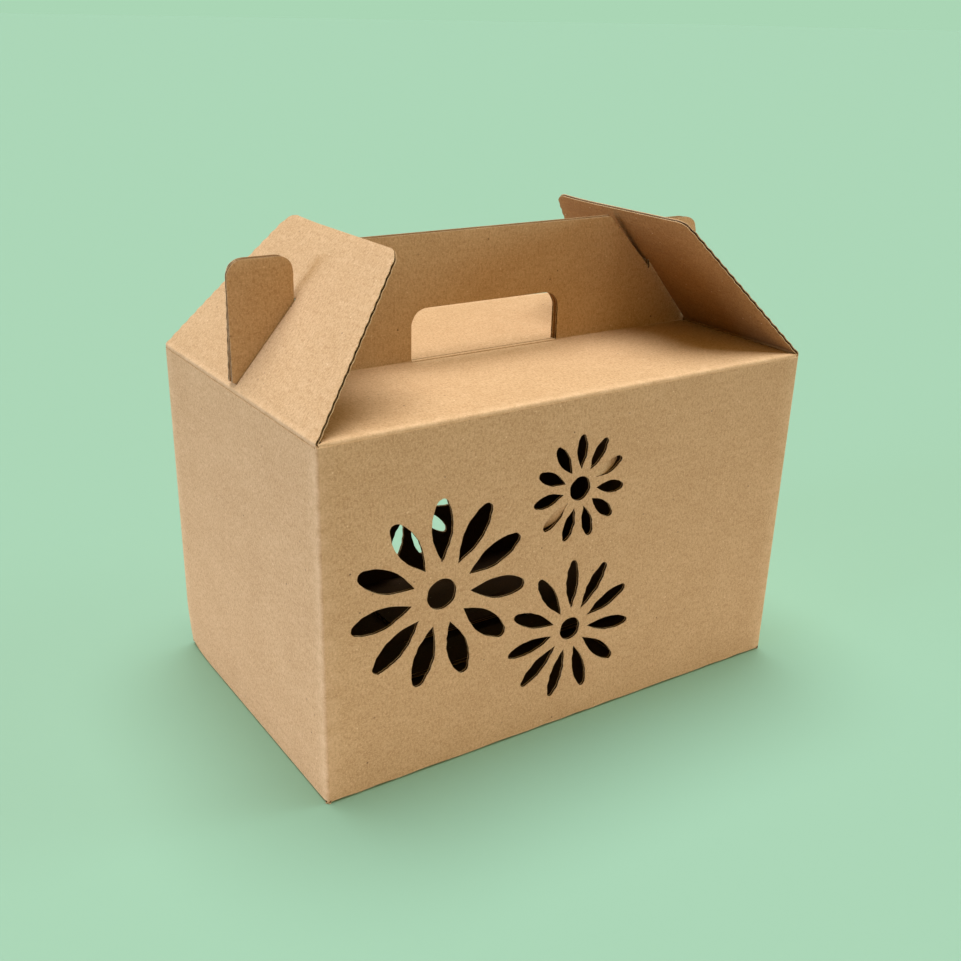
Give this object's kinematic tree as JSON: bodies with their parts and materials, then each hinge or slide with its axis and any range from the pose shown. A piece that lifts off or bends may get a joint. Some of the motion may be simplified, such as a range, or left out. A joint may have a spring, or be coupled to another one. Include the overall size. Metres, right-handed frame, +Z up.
{
  "type": "cookie box",
  "caption": "Gable carry box of folded kraft corrugated board, with a hand hole in the handle, slotted end flaps over locking ears and cut-out daisies on its long walls.",
  "frame": {"origin": "middle of the underside, on the surface that the box stands on", "axes": "+X along the box towards its right end, +Y from the front wall to the back wall, +Z up"},
  "size_m": [0.317, 0.199, 0.276],
  "materials": {
    "kraft_board": "uncoated brown kraft liner, matt",
    "kraft_board_flap": "uncoated brown kraft liner, matt",
    "kraft_board_ear": "uncoated brown kraft liner, matt"
  },
  "bodies": {
    "box": {"box_body": "kraft_board", "left_front_ear": "kraft_board_ear", "left_back_ear": "kraft_board_ear", "right_front_ear": "kraft_board_ear", "right_back_ear": "kraft_board_ear"},
    "left_flap": {"left_end_flap": "kraft_board_flap"},
    "right_flap": {"right_end_flap": "kraft_board_flap"}
  },
  "joints": [
    {"name": "left_flap_fold", "type": "hinge", "parent": "box", "child": "left_flap", "pos_m": [-0.1585, 0, 0.2], "axis": [0, -1, 0], "range_deg": [0, 200], "deforming": ["left_front_ear", "left_back_ear"]},
    {"name": "right_flap_fold", "type": "hinge", "parent": "box", "child": "right_flap", "pos_m": [0.1585, 0, 0.2], "axis": [0, 1, 0], "range_deg": [0, 200], "deforming": ["right_front_ear", "right_back_ear"]}
  ]
}
